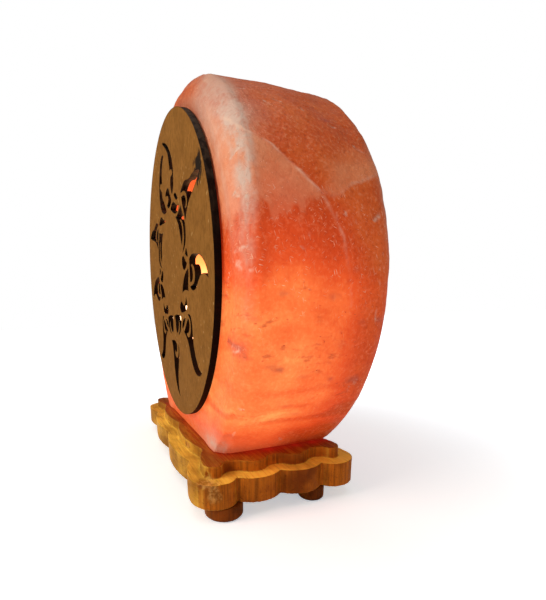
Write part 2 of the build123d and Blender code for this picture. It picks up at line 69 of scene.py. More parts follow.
world = bpy.data.worlds.new("world")
scene.world = world
world.use_nodes = True
bg = world.node_tree.nodes["Background"]
bg.inputs["Color"].default_value = (1.0, 0.90, 0.78, 1)
bg.inputs["Strength"].default_value = 0.25
white = world.node_tree.nodes.new("ShaderNodeBackground")
white.inputs["Color"].default_value = (1, 1, 1, 1)
white.inputs["Strength"].default_value = 1.0
path = world.node_tree.nodes.new("ShaderNodeLightPath")
both = world.node_tree.nodes.new("ShaderNodeMixShader")
world.node_tree.links.new(path.outputs["Is Camera Ray"], both.inputs[0])
world.node_tree.links.new(bg.outputs[0], both.inputs[1])
world.node_tree.links.new(white.outputs[0], both.inputs[2])
world.node_tree.links.new(both.outputs[0], world.node_tree.nodes["World Output"].inputs["Surface"])


def area(name, loc, target, size, power, colour):
    d = bpy.data.lights.new(name, "AREA")
    d.shape = "RECTANGLE"
    d.size, d.size_y = size
    d.energy = power
    d.color = colour
    o = bpy.data.objects.new(name, d)
    scene.collection.objects.link(o)
    o.location = loc
    o.rotation_euler = (Vector(target) - Vector(loc)).to_track_quat("-Z", "Y").to_euler()
    return o


area("key", (0.05, -1.1, 0.62), (0, 0, 0.09), (0.7, 0.6), 8.8, (1.0, 0.92, 0.78))
area("top", (0.0, -0.15, 1.5), (0, 0, 0.0), (1.4, 1.4), 6.5, (1.0, 0.94, 0.87))
area("side", (1.1, 0.25, 0.45), (0, 0, 0.1), (0.5, 0.5), 0.8, (1.0, 0.90, 0.78))

# ------------------------------------------------------------ node helpers


class Graph:
    """Short names for the shader nodes used below. Colours and numbers may be
    given in place of a node's output."""

    def __init__(self, name):
        self.mat = bpy.data.materials.new(name)
        self.mat.use_nodes = True
        self.t = self.mat.node_tree
        self.p = self.t.nodes["Principled BSDF"]
        self.out = self.t.nodes["Material Output"]
        self._co = None

    def new(self, kind):
        return self.t.nodes.new(kind)

    def put(self, value, socket):
        if isinstance(value, bpy.types.NodeSocket):
            self.t.links.new(value, socket)
        elif isinstance(value, (tuple, list)) and len(value) == 3 and socket.type == "RGBA":
            socket.default_value = (*value, 1)
        else:
            socket.default_value = value

    def co(self):
        if self._co is None:
            self._co = self.new("ShaderNodeTexCoord")
        return self._co.outputs["Object"]

    def normal(self):
        self.co()
        return self._co.outputs["Normal"]

    def attr(self, name):
        n = self.new("ShaderNodeAttribute")
        n.attribute_name = name
        return n.outputs["Fac"]

    def xyz(self, v):
        n = self.new("ShaderNodeSeparateXYZ")
        self.put(v, n.inputs[0])
        return n.outputs

    def scaled(self, v, s, loc=(0, 0, 0), rot=(0, 0, 0)):
        n = self.new("ShaderNodeMapping")
        self.put(v, n.inputs["Vector"])
        n.inputs["Scale"].default_value = s
        n.inputs["Location"].default_value = loc
        n.inputs["Rotation"].default_value = rot
        return n.outputs[0]

    def noise(self, scale, detail=4.0, rough=0.5, v=None, distort=0.0, lac=2.0):
        n = self.new("ShaderNodeTexNoise")
        self.put(self.co() if v is None else v, n.inputs["Vector"])
        n.inputs["Scale"].default_value = scale
        n.inputs["Detail"].default_value = detail
        n.inputs["Roughness"].default_value = rough
        n.inputs["Distortion"].default_value = distort
        n.inputs["Lacunarity"].default_value = lac
        return n.outputs["Fac"]

    def voronoi(self, scale, v=None, feature="F1", rand=1.0, out="Distance"):
        n = self.new("ShaderNodeTexVoronoi")
        n.feature = feature
        self.put(self.co() if v is None else v, n.inputs["Vector"])
        n.inputs["Scale"].default_value = scale
        n.inputs["Randomness"].default_value = rand
        return n.outputs[out]

    def wave(self, scale, v=None, distort=1.0, detail=2.0, dscale=1.0, direction="X", kind="BANDS"):
        n = self.new("ShaderNodeTexWave")
        n.wave_type = kind
        if kind == "BANDS":
            n.bands_direction = direction
        self.put(self.co() if v is None else v, n.inputs["Vector"])
        n.inputs["Scale"].default_value = scale
        n.inputs["Distortion"].default_value = distort
        n.inputs["Detail"].default_value = detail
        n.inputs["Detail Scale"].default_value = dscale
        return n.outputs["Fac"]

    def math(self, op, a, b=0.0, c=None, clamp=False):
        n = self.new("ShaderNodeMath")
        n.operation = op
        n.use_clamp = clamp
        self.put(a, n.inputs[0])
        self.put(b, n.inputs[1])
        if c is not None:
            self.put(c, n.inputs[2])
        return n.outputs[0]

    def mul(self, a, b, clamp=False):
        return self.math("MULTIPLY", a, b, clamp=clamp)

    def add(self, a, b, clamp=False):
        return self.math("ADD", a, b, clamp=clamp)

    def step(self, v, lo, hi, a=0.0, b=1.0):
        """Smooth step of v from lo to hi, giving a to b."""
        n = self.new("ShaderNodeMapRange")
        n.interpolation_type = "SMOOTHSTEP"
        self.put(v, n.inputs["Value"])
        n.inputs["From Min"].default_value = lo
        n.inputs["From Max"].default_value = hi
        n.inputs["To Min"].default_value = a
        n.inputs["To Max"].default_value = b
        return n.outputs["Result"]

    def mix(self, fac, a, b, mode="MIX"):
        n = self.new("ShaderNodeMix")
        n.data_type = "RGBA"
        n.blend_type = mode
        n.clamp_factor = True
        self.put(fac, n.inputs["Factor"])
        self.put(a, n.inputs[6])
        self.put(b, n.inputs[7])
        return n.outputs[2]

    def ramp(self, fac, stops, interp="LINEAR"):
        n = self.new("ShaderNodeValToRGB")
        n.color_ramp.interpolation = interp
        el = n.color_ramp.elements
        while len(el) > 1:
            el.remove(el[-1])
        el[0].position, el[0].color = stops[0][0], (*stops[0][1], 1)
        for pos, col in stops[1:]:
            e = el.new(pos)
            e.color = (*col, 1)
        self.put(fac, n.inputs[0])
        return n.outputs[0]

    def bump(self, height, strength, distance, normal=None):
        n = self.new("ShaderNodeBump")
        n.inputs["Strength"].default_value = strength
        n.inputs["Distance"].default_value = distance
        self.put(height, n.inputs["Height"])
        if normal is not None:
            self.put(normal, n.inputs["Normal"])
        return n.outputs[0]

    def set(self, **kw):
        for k, v in kw.items():
            self.put(v, self.p.inputs[k.replace("_", " ")])
        return self


def rgb(r, g, b):
    """8-bit screen colour to linear."""
    def f(c):
        c = c / 255.0
        return c / 12.92 if c <= 0.04045 else ((c + 0.055) / 1.055) ** 2.4
    return (f(r), f(g), f(b))


# ------------------------------------------------------------ number helpers


def hash3(ix, iy, iz, seed):
    h = (ix * 374761393 + iy * 668265263 + iz * 2147483647 + seed * 974634777) & 0xFFFFFFFF
    h = ((h ^ (h >> 13)) * 1274126177) & 0xFFFFFFFF
    h = ((h ^ (h >> 16)) * 2246822519) & 0xFFFFFFFF
    return ((h ^ (h >> 15)) & 0xFFFFFF).astype(np.float64) / 0xFFFFFF


def vnoise(p, cell, seed=0):
    """Smooth noise from -1 to 1, of features about cell across."""
    q = p / cell
    i = np.floor(q).astype(np.int64)
    f = q - i
    f = f * f * f * (f * (f * 6 - 15) + 10)
    out = np.zeros(len(p))
    for dx in (0, 1):
        wx = f[:, 0] if dx else 1 - f[:, 0]
        for dy in (0, 1):
            wy = f[:, 1] if dy else 1 - f[:, 1]
            for dz in (0, 1):
                wz = f[:, 2] if dz else 1 - f[:, 2]
                out += wx * wy * wz * hash3(i[:, 0] + dx, i[:, 1] + dy, i[:, 2] + dz, seed)
    return out * 2 - 1


def fbm(p, cell, octaves=4, seed=0, gain=0.5):
    out, amp, tot = np.zeros(len(p)), 1.0, 0.0
    for k in range(octaves):
        out += amp * vnoise(p + 31.7 * k, cell / 2.03**k, seed + 17 * k)
        tot += amp
        amp *= gain
    return out / tot


def smooth(x, lo, hi):
    t = np.clip((x - lo) / (hi - lo), 0, 1)
    return t * t * (3 - 2 * t)


def coords(me):
    co = np.empty(len(me.vertices) * 3, np.float32)
    me.vertices.foreach_get("co", co)
    return co.reshape(-1, 3).astype(np.float64)


def normals(me):
    no = np.empty(len(me.vertices) * 3, np.float32)
    me.vertices.foreach_get("normal", no)
    return no.reshape(-1, 3).astype(np.float64)


def set_coords(me, co):
    me.vertices.foreach_set("co", co.astype(np.float32).ravel())
    me.update()


def put_attr(me, name, values):
    a = me.attributes.new(name, "FLOAT", "POINT")
    a.data.foreach_set("value", values.astype(np.float32))


def remeshed(node, name, voxel, smoothing, wrap=False):
    """A new, evenly dense mesh in the place of a CAD node."""
    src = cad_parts[node]
    me = src.data.copy()
    o = bpy.data.objects.new(name, me)
    scene.collection.objects.link(o)
    o.modifiers.clear()
    m = o.modifiers.new("r", "REMESH")
    m.mode = "VOXEL"
    m.voxel_size = voxel
    m.adaptivity = 0.0
    s = o.modifiers.new("s", "SMOOTH")
    s.factor = 0.5
    s.iterations = smoothing
    if wrap:
        w = o.modifiers.new("w", "SHRINKWRAP")
        w.wrap_method = "NEAREST_SURFACEPOINT"
        w.target = src
    bpy.context.view_layer.update()
    dg = bpy.context.evaluated_depsgraph_get()
    new = bpy.data.meshes.new_from_object(o.evaluated_get(dg))
    o.modifiers.clear()
    o.data = new
    new.name = name
    bpy.data.meshes.remove(me)
    new.materials.clear()
    return o


def finish_mesh(o, mat, body, nodes=(), flat=False):
    me = o.data
    me.materials.clear()
    me.materials.append(mat)
    me.polygons.foreach_set("use_smooth", [not flat] * len(me.polygons))
    me.update()
    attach(o, body)
    if nodes:
        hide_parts(*nodes)
    return o


# ------------------------------------------------------------ salt block
ZC = 98.2
R = 95.0
Y0, Y1 = -25.6, 41.4
AXIS = (0.0, 4.0)

salt = remeshed("salt_block", "salt_crystal", (0.85) * MM, 3, wrap=True)
me = salt.data
P = coords(me) / MM
N = normals(me)
x, y, z = P.T
rho = np.hypot(x, z - ZC)
# the front edge is rounded above and nearly square down at the foot
c_, s_ = np.clip((rho - (R - 12.0)) / 12.0, 0, 1), np.clip((Y0 + 6.2 - y) / 6.2, 0, 1)
pw = 2.0 + 7.0 * smooth(-z, -58, -30)
k_ = np.hypot(c_, s_) / np.maximum((c_**pw + s_**pw) ** (1 / pw), 1e-6)
k_ = np.where((c_ > 1e-3) & (s_ > 1e-3), k_, 1.0)
new_r = np.where(c_ > 0, (R - 12.0) + (rho - (R - 12.0)) * k_, rho)
new_y = np.where(s_ > 0, (Y0 + 6.2) - ((Y0 + 6.2) - y) * k_, y)
ux, uz = x / np.maximum(rho, 1e-6), (z - ZC) / np.maximum(rho, 1e-6)
lim = np.where(uz < -0.2, (ZC - 24.0) / np.maximum(-uz, 0.2), 1e9)
new_r = np.where(c_ > 0, np.minimum(new_r, np.maximum(lim, rho)), rho)
P = np.stack([ux * new_r, new_y, ZC + uz * new_r], 1)
set_coords(me, P * MM)
N = normals(me)
x, y, z = P.T
rho = np.hypot(x, z - ZC)
phi = np.degrees(np.arctan2(z - ZC, x))
phis = np.where(x >= 0, phi, np.degrees(np.arctan2(z - ZC, -x)))
rc = np.hypot(x, z - 107.4)
inner = ((rc < 63.2) & (y < 26.2) & (y > -25.0)) | ((np.hypot(x, y - AXIS[1]) < 20.2) & (z < 60) & (z > 24.6))
plugs = (np.hypot(np.abs(x) - 36, y - 4) < 5.4) & (z < 48) & (z > 24.6)
outer = ~(inner | plugs)

disp = np.zeros(len(P))
# slow unevenness of a hand-worked block, then finer
slow = 0.55 * fbm(P, 34.0, 3, 5) + 0.30 * fbm(P, 9.0, 3, 9)
fine = 0.11 * fbm(P, 2.6, 3, 21)
# low ribs, almost level, like the block's layers
layer = P.copy()
layer[:, 0] *= 0.25
layer[:, 1] *= 0.25
layer[:, 2] += 0.05 * P[:, 1]
ribs = 0.13 * vnoise(layer, 4.2, 77)
disp += outer * (slow + fine + ribs)
# keep flat what is flat: the underside, and the front where the panel sits
side_w = smooth(rho, 70, 84)
front_flat = (y < Y0 + 1.2) & (rho < 86)
disp *= np.where(front_flat, 0.25, 1.0)
disp *= np.where((z < 25.2) & (N[:, 2] < -0.6), 0.0, 1.0)
disp = np.minimum(disp - 0.35 * outer, -0.02)
disp += inner * 0.5 * fbm(P, 5.0, 3, 91)
P2 = P + N * disp[:, None]


# flat facets, cut off the rounded edges as with a chisel
def facet(points, phi_deg, tilt_deg, depth, back=True, width=None):
    """Push what stands beyond a slanting plane back onto it."""
    a, t = math.radians(phi_deg), math.radians(tilt_deg)
    n = np.array([math.cos(a) * math.cos(t), math.sin(t) * (1 if back else -1), math.sin(a) * math.cos(t)])
    # the rounded edge's own support in that direction
    if back:
        ax, rr, ye, s = 13.5, 12.5, Y1, 1
    else:
        ax, rr, ye, s = 6.2, 12.0, Y0, -1
    k = math.hypot(rr * math.cos(t), ax * math.sin(t))
    top = (R - rr) * math.cos(t) + abs(ye - s * ax) * math.sin(t) + k
    d = top - depth
    rel = points - np.array([0, 0, ZC])
    over = rel @ n - d
    over = np.where(over > 0, over, 0)
    return points - over[:, None] * n


rng = np.random.RandomState(41)
for k in range(22):
    ph = -44 + k * 12.4 + rng.uniform(-4, 4)
    t, d = rng.uniform(26, 60), rng.uniform(0.25, 0.85)
    P2 = np.where(outer[:, None], facet(P2, ph, t, d * (0.35 if -60 < ph < 8 else 1.0)), P2)
for k in range(26):
    ph = -44 + k * 10.6 + rng.uniform(-4, 4)
    P2 = np.where(outer[:, None], facet(P2, ph, rng.uniform(24, 60), rng.uniform(0.15, 0.55), back=False), P2)
# the few seen in the outline at the upper back edge
for ph, t, d in ((57, 30, 0.5), (44, 24, 0.55), (31, 30, 0.6), (19, 27, 0.5), (70, 33, 0.5)):
    P2 = np.where(outer[:, None], facet(P2, ph, t, d), P2)


# the round side draws in a little towards the back
taper = np.interp(phis, [-48, -34, -20, -8, 0, 18, 34, 48, 62, 80], [0.0, 0.35, 1.1, 1.8, 2.0, 1.9, 1.6, 1.5, 1.2, 0.5])
taper *= smooth(y, 4, 30) * smooth(rho, 74, 84) * outer * np.where(x > 0, 1.0, 0.5 + 0.5 * smooth(-np.abs(x), -8, 0))
rad = np.maximum(np.hypot(P2[:, 0], P2[:, 2] - ZC), 1e-6)
P2[:, 0] -= taper * P2[:, 0] / rad
P2[:, 2] -= taper * (P2[:, 2] - ZC) / rad


def on_side(phi_deg, yy, left=False):
    """A point on the block's round side."""
    a = math.radians(phi_deg)
    r = R
    if yy < Y0 + 6.2:
        t = min(1.0, (Y0 + 6.2 - yy) / 6.2)
        r = R - 12.0 * (1 - math.sqrt(max(0.0, 1 - t * t)))
    if yy > Y1 - 13.5:
        t = min(1.0, (yy - (Y1 - 13.5)) / 13.5)
        r = R - 12.5 * (1 - math.sqrt(max(0.0, 1 - t * t)))
    return np.array([(-1 if left else 1) * r * math.cos(a), yy, ZC + r * math.sin(a)])


def polyline_distance(points, line):
    best = np.full(len(points), 1e9)
    for a, b in zip(line[:-1], line[1:]):
        ab = b - a
        t = np.clip(((points - a) @ ab) / (ab @ ab), 0, 1)
        d = np.linalg.norm(points - (a + t[:, None] * ab), axis=1)
        best = np.minimum(best, d)
    return best


# chips: small shell-shaped flakes out of the surface
chip = np.zeros(len(P))
CHIPS = [
    # phi, y, size, depth
    (13.5, 14.4, 1.5, 0.8), (6.4, -3.9, 1.3, 0.5), (5.2, -2.6, 1.0, 0.4), (6.9, -24.6, 2.2, 0.7), (3.6, -24.9, 1.8, 0.6),
    (-25.0, 27.8, 2.3, 0.8), (-27.0, 26.0, 1.6, 0.5), (9.0, -1.0, 1.1, 0.4), (12.8, 10.6, 1.1, 0.3), (2.2, -22.5, 1.4, 0.5),
    (42.0, -6.0, 1.8, 0.5), (43.0, -1.0, 1.6, 0.5), (41.0, 8.0, 1.4, 0.4), (36.5, 19.0, 1.6, 0.5), (47.0, -13.0, 2.2, 0.6),
    (27.0, -23.6, 2.2, 0.6), (18.0, -24.4, 1.7, 0.5), (-14.8, -25.2, 2.6, 0.6), (-40.0, -22.6, 1.8, 0.5), (-46.0, 4.0, 1.8, 0.5),
    (-30.0, -22.0, 1.6, 0.4), (31.0, 27.0, 2.4, 0.7), (14.0, 29.5, 2.6, 0.7), (-8.0, 30.5, 2.2, 0.6),
]
rs = np.random.RandomState(7)
spots = [(on_side(a, b), s, d) for a, b, s, d in CHIPS]
spots += [(on_side(rs.uniform(-46, 88), rs.uniform(-25, 40), left=True), rs.uniform(0.9, 2.4), rs.uniform(0.3, 0.7)) for _ in range(40)]
spots += [(on_side(rs.uniform(50, 88), rs.uniform(-25, 40)), rs.uniform(0.9, 2.2), rs.uniform(0.3, 0.6)) for _ in range(16)]
for _ in range(26):
    a, rr_ = rs.uniform(0, 2 * math.pi), rs.uniform(20, 86)
    spots.append((np.array([rr_ * math.cos(a), Y1, ZC + rr_ * math.sin(a)]), rs.uniform(1.0, 2.8), rs.uniform(0.3, 0.7)))
for k_chip, (c, s, d) in enumerate(spots):
    e = P - c
    a = rs.uniform(0, math.pi)
    n0 = np.array([c[0], 0.0, c[2] - ZC]) if abs(c[1] - Y1) > 0.1 else np.array([0, 1.0, 0])
    n0 = n0 / np.linalg.norm(n0)
    t0 = np.cross(n0, [0, 1.0, 0.02]) if abs(n0[1]) < 0.5 else np.array([1.0, 0, 0])
    t0 = t0 / np.linalg.norm(t0)
    t1 = np.cross(n0, t0)
    u = e @ (t0 * math.cos(a) + t1 * math.sin(a))
    v = e @ (t1 * math.cos(a) - t0 * math.sin(a))
    h = e @ n0
    s = s * (0.85 if k_chip < len(CHIPS) else 0.7)
    rr = np.sqrt((u / s) ** 2 + (v / (0.42 * s)) ** 2 + (h / (2 * s)) ** 2)
    rr = rr + 0.5 * vnoise(P, 1.3, 3)
    w = np.clip(1 - rr, 0, 1)
    dent = np.sqrt(np.clip(w * (2 - w), 0, 1)) * d * 0.8
    P2 -= N * (dent * outer)[:, None]
    rimw = np.exp(-(((rr - 0.75) / 0.3) ** 2)) * (np.abs(rr) < 3)
    chip = np.maximum(chip, np.maximum(rimw * (v > -0.1 * s), 0.35 * smooth(w, 0.0, 0.35)) * outer)

# pits and hairline scratches, from geometry where the mesh can hold them
pits = vnoise(P, 1.7, 301)
P2 -= N * (0.30 * smooth(pits, 0.72, 0.95) * outer)[:, None]

# veins
VEIN_A = [(39.5, -24.4), (37.3, -23.8), (33.4, -22.3), (30.5, -19.5), (29.6, -14.8), (27.2, -10.2), (24.2, -5.0), (22.1, -1.9), (20.1, 1.3), (17.0, 6.3), (13.0, 9.4), (8.0, 12.9), (4.0, 14.6), (-0.1, 16.0), (-6.0, 17.2)]
VEIN_B = [(17.6, 5.6), (16.9, 9.6), (17.8, 13.1), (20.0, 17.5), (21.4, 23.0), (23.2, 29.5), (25.0, 35.0)]
VEIN_L = [(50, -24), (41, -15), (33, -11), (22, 2), (15, 4), (3, 17), (-8, 21), (-20, 34)]
VEIN_L2 = [(64, 38), (52, 24), (44, 21), (33, -11)]
VEIN_T = [(86, -22), (80, -8), (70, 2), (66, 18), (60, 26), (55, 40)]
warp = P.copy()
for k in range(3):
    warp[:, k] += 1.1 * fbm(P, 7.0, 3, 200 + k)
dA = polyline_distance(warp, [on_side(a, b) for a, b in VEIN_A])
dB = polyline_distance(warp, [on_side(a, b) for a, b in VEIN_B])
dL = polyline_distance(warp, [on_side(a, b, True) for a, b in VEIN_L])
dL2 = polyline_distance(warp, [on_side(a, b, True) for a, b in VEIN_L2])
dT = polyline_distance(warp, [on_side(a, b) for a, b in VEIN_T])
back_line = [np.array(p, float) for p in ((-70, Y1, 150), (-38, Y1, 128), (-12, Y1, 131), (14, Y1, 108), (40, Y1, 96), (82, Y1, 84))]
back_line2 = [np.array(p, float) for p in ((-12, Y1, 131), (-4, Y1, 158), (18, Y1, 180), (28, Y1, 190))]
dK = np.minimum(polyline_distance(warp, back_line), polyline_distance(warp, back_line2))
vein = np.maximum.reduce([np.exp(-(d / 0.52) ** 2) * k for d, k in ((dA, 0.9), (dB, 0.6), (dL, 0.8), (dL2, 0.6), (dT, 0.7), (dK, 0.8))])
vein *= outer * (0.66 + 0.45 * vnoise(P, 3.1, 55)) * (0.75 + 0.35 * smooth(z, 105, 135))
P2 += N * (0.16 * vein)[:, None]

P2[:, 1] = np.minimum(P2[:, 1], Y1 - 0.02)
set_coords(me, P2 * MM)

# pale zones: between a vein and the front edge, frosty rims with a painted highlight along the rounded front edge,
# chips
yA = np.interp(phi, [b[0] for b in VEIN_A[::-1]], [b[1] for b in VEIN_A[::-1]])
zoneA = smooth(yA - y, -0.4, 1.4) * smooth(phi + 9.0 * fbm(P * [1, 1, 0.45], 6.0, 4, 71, 0.6), 12.0, 15.0) * (1 - smooth(phi, 43, 56)) * (x > 0)
lowB = np.interp(y, [b[1] for b in VEIN_B], [b[0] for b in VEIN_B])
upB = phi - lowB + 3.5 * fbm(P, 9.0, 4, 73)
zoneB = smooth(phi - lowB, -0.3, 0.8) * (1 - smooth(upB, 1.5, 11)) * smooth(y + 3.0 * fbm(P, 7.0, 3, 74), 5, 12) * (x > 0)
yL = np.interp(phis, [b[0] for b in VEIN_L[::-1]], [b[1] for b in VEIN_L[::-1]])
zoneL = smooth(yL - y, -0.4, 1.4) * smooth(phis + 3 * fbm(P, 8.0, 3, 72), 12, 17) * (1 - smooth(phis, 44, 60)) * (x < 0)
zoneK = smooth(fbm(P, 30.0, 3, 99), 0.08, 0.35) * smooth(y, 36, 41)
pale = np.clip(0.74 * zoneA + 0.52 * zoneB + 0.6 * zoneL + 0.4 * zoneK, 0, 1) * outer

# the band along the rounded front edge is partly frosty salt and partly a painted highlight of that curved edge,
# stronger higher up
rc_ = Y0 + 2.2 + 2.2 * smooth(z, 105, 140) + 1.4 * smooth(z, 150, 185)
rw_ = 2.1 + 1.5 * smooth(z, 110, 150)
rim = np.exp(-(((y - rc_) / rw_) ** 2)) * smooth(rho, 82, 88)
rim_amount = np.interp(z, [24, 32, 40, 55, 70, 85, 100, 112, 125, 150, 175, 193], [0.42, 0.36, 0.10, 0.12, 0.20, 0.34, 0.58, 0.88, 1.15, 1.25, 0.95, 0.45])
rim = 0.90 * rim * rim_amount * (0.66 + 0.75 * fbm(P * np.array([1.0, 1.6, 1.0]), 6.0, 4, 61, 0.6) + 0.35 * vnoise(np.stack([rho * 1.2, y * 1.2, phis * 0.25], 1), 1.0, 63))
inner_rim = np.exp(-(((rho - 84.5) / 3.0) ** 2)) * (y < Y0 + 2.5) * 0.22 * rim_amount
foot_grey = np.exp(-((P - np.array([46.0, -25.0, 30.0])) ** 2 @ np.array([1 / 420.0, 1 / 9.0, 1 / 90.0])))
patch = np.exp(-((P - np.array([58.0, -22.5, 169.0])) ** 2 @ np.array([1 / 150.0, 1 / 60.0, 1 / 110.0])))
patch2 = np.exp(-((P - np.array([74.0, -19.0, 154.0])) ** 2 @ np.array([1 / 90.0, 1 / 60.0, 1 / 90.0])))
patch3 = np.exp(-((P - np.array([56.0, -23.5, 30.0])) ** 2 @ np.array([1 / 190.0, 1 / 120.0, 1 / 80.0])))
patchL = np.exp(-((P - np.array([-60.0, -22.5, 165.0])) ** 2 @ np.array([1 / 150.0, 1 / 60.0, 1 / 110.0])))
backrim = np.exp(-(((y - 37.5) / 3.4) ** 2)) * smooth(rho, 84, 90) * smooth(fbm(P, 16.0, 3, 62), -0.25, 0.4)
frost_and_highlight = np.clip(rim + inner_rim + 0.70 * patch + 0.45 * patch2 + 0.36 * patch3 + 0.45 * foot_grey + 0.6 * patchL + 0.42 * backrim * smooth(z, 90, 130), 0, 1)
frost_and_highlight = np.clip(frost_and_highlight + 0.45 * chip, 0, 1) * outer
hair = np.exp(-(((phis - 8) / 16.0) ** 2)) * 0.9 + 0.35 * smooth(phis, 5, 60) + 0.12
hair = np.clip(hair * (0.75 + 0.7 * fbm(P, 13.0, 3, 64)), 0, 1) * outer

# where the light comes through the wall
zz = z + 2.6 * fbm(P, 11.0, 4, 31) + 0.10 * (y + 5) + 9.0 * smooth(-y, 12, 23) * smooth(z, 80, 92)
glow = np.interp(zz, [24, 27, 31, 36, 42, 52, 66, 80, 92, 99, 104, 110, 117, 126, 138, 155, 193],
                 [0.16, 0.38, 0.62, 0.82, 0.95, 1.0, 0.96, 0.90, 0.88, 0.86, 0.72, 0.57, 0.46, 0.31, 0.13, 0.03, 0.0])
glow *= 1 - 0.16 * smooth(y, -6, 8) - 0.46 * smooth(y, 10, 33)
glow *= 1 + 0.10 * fbm(P, 11.0, 3, 33)
low = smooth(-z, -70, -44)
lay = P * np.array([0.10, 0.10, 1.0]) + np.array([0, 0, 0.9])[None] * fbm(P, 16.0, 3, 88)[:, None]
glow *= 1 - 0.30 * low * smooth(vnoise(lay, 3.6, 35), 0.12, 0.75) + 0.06 * low * smooth(-vnoise(lay, 3.6, 35), 0.1, 0.7)
glow *= 1 - 0.55 * smooth(-z, -42, -27) * smooth(y, -4, 12)
on_back = smooth(y, 38, 41) * (1 - smooth(rho, 80, 92))
glow = glow * (1 - 0.25 * on_back)

smudge = np.zeros(len(P))
SMUDGES = [
    (-14.6, -25.3, 2.4, 1.8, 0.9), (-16.4, -24.0, 1.8, 1.0, 0.6), (-19.1, -10.3, 2.3, 1.1, 0.9), (-18.2, -13.6, 3.6, 0.9, 0.45),
    (-2.6, -10.9, 2.2, 0.7, 0.5), (-3.4, 8.8, 2.0, 0.9, 0.55), (-23.0, 14.6, 1.5, 0.8, 0.7), (-24.0, 26.2, 2.6, 1.6, 0.6),
    (-14.2, 16.0, 2.2, 0.8, 0.4), (-9.4, 24.0, 1.6, 0.8, 0.35), (-30.0, -3.0, 2.4, 0.8, 0.35), (-7.6, -21.4, 1.8, 0.8, 0.4),
    (-21.5, 1.0, 2.0, 0.8, 0.3), (-33.5, 3.5, 3.0, 0.9, 0.35), (38.6, 17.0, 2.0, 1.4, 0.55), (2.2, 19.0, 1.4, 0.8, 0.3),
]
for a, b, ly, lz, k in SMUDGES:
    c = on_side(a, b)
    e = P - c
    tz = -e[:, 0] * math.sin(math.radians(a)) + e[:, 2] * math.cos(math.radians(a))
    q = (e[:, 1] / ly) ** 2 + (tz / lz) ** 2 + ((e**2).sum(1) > 64) * 9
    smudge = np.maximum(smudge, k * np.exp(-q * (1 + 0.9 * vnoise(P, 1.5, 8))))
for _ in range(46):
    left = rs.rand() < 0.6
    c = on_side(rs.uniform(-45, 30), rs.uniform(-22, 38), left) if rs.rand() < 0.6 else np.array([rs.uniform(-75, 75), Y1, rs.uniform(30, 130)])
    if c[0] > 60 and c[1] < 31:
        continue
    e = P - c
    q = ((e * np.array([0.5, 0.5, 1.0])) ** 2).sum(1) / rs.uniform(0.8, 2.2)
    smudge = np.maximum(smudge, rs.uniform(0.3, 0.7) * np.exp(-q * (1 + 0.9 * vnoise(P, 1.5, 8))))
smudge *= outer

# light inside the cavity, from the bulb's height outwards
near = np.sqrt((y - 4) ** 2 * 0.2 + (z - 88) ** 2)
cav = np.clip(1.08 - near / 78.0, 0, 1) * (inner | plugs)
cav = np.where(z < 46, cav * 0.55, cav)

# hidden behind the panel's rim: no light of its own
put_attr(me, "glow", np.clip(glow, 0, 1.2) * outer)
put_attr(me, "frost_and_highlight", frost_and_highlight)
put_attr(me, "pale", pale)
put_attr(me, "vein", np.clip(vein, 0, 1))
put_attr(me, "smudge", np.clip(smudge, 0, 1))
put_attr(me, "cav", cav)
put_attr(me, "inside", (inner | plugs).astype(float))
put_attr(me, "hair", hair)
put_attr(me, "chip", np.clip(chip, 0, 1))

g = Graph("rock_salt")
mott = g.noise(38, 5, 0.62)
mott2 = g.noise(170, 4, 0.62)
mott3 = g.noise(700, 3, 0.6)
strat = g.noise(95, 4, 0.55, v=g.scaled(g.co(), (0.28, 0.28, 1.0), rot=(0.06, 0.02, 0)))


# the surface laid out flat: along the round side, or straight on for the faces
cx = g.xyz(g.co())
around = g.new("ShaderNodeCombineXYZ")
g.put(g.mul(g.math("ARCTAN2", g.math("SUBTRACT", cx["Z"], 0.0982), cx["X"]), 0.095), around.inputs[0])
g.put(cx["Y"], around.inputs[1])
across = g.new("ShaderNodeCombineXYZ")
g.put(g.add(cx["X"], 2.0), across.inputs[0])
g.put(cx["Z"], across.inputs[1])
pick_face = g.new("ShaderNodeMix")
pick_face.data_type = "VECTOR"
g.put(g.math("GREATER_THAN", g.math("ABSOLUTE", g.xyz(g.normal())["Y"]), 0.72), pick_face.inputs["Factor"])
g.put(around.outputs[0], pick_face.inputs[4])
g.put(across.outputs[0], pick_face.inputs[5])
flat_co = pick_face.outputs[1]


def marks(scale, turn, aspect, size, seed, share, bend=0.0008):
    """Short marks on the unrolled surface, all nearly one way."""
    wob = g.new("ShaderNodeTexNoise")
    wob.inputs["Scale"].default_value = 210
    g.put(g.co(), wob.inputs["Vector"])
    mixv = g.new("ShaderNodeVectorMath")
    mixv.operation = "MULTIPLY_ADD"
    g.put(wob.outputs["Color"], mixv.inputs[0])
    mixv.inputs[1].default_value = (bend, bend, 0.0)
    g.put(flat_co, mixv.inputs[2])
    v = g.scaled(mixv.outputs[0], (1, 1, 1), loc=seed, rot=(0, 0, turn))
    v = g.scaled(v, (1.0, aspect, 1.0))
    n = g.new("ShaderNodeTexVoronoi")
    n.voronoi_dimensions = "2D"
    n.inputs["Scale"].default_value = scale
    g.put(v, n.inputs["Vector"])
    pick = g.step(g.xyz(n.outputs["Color"])["X"], 1 - share, 1 - share + 0.05)
    return g.mul(g.step(n.outputs["Distance"], size, size * 0.55), pick)


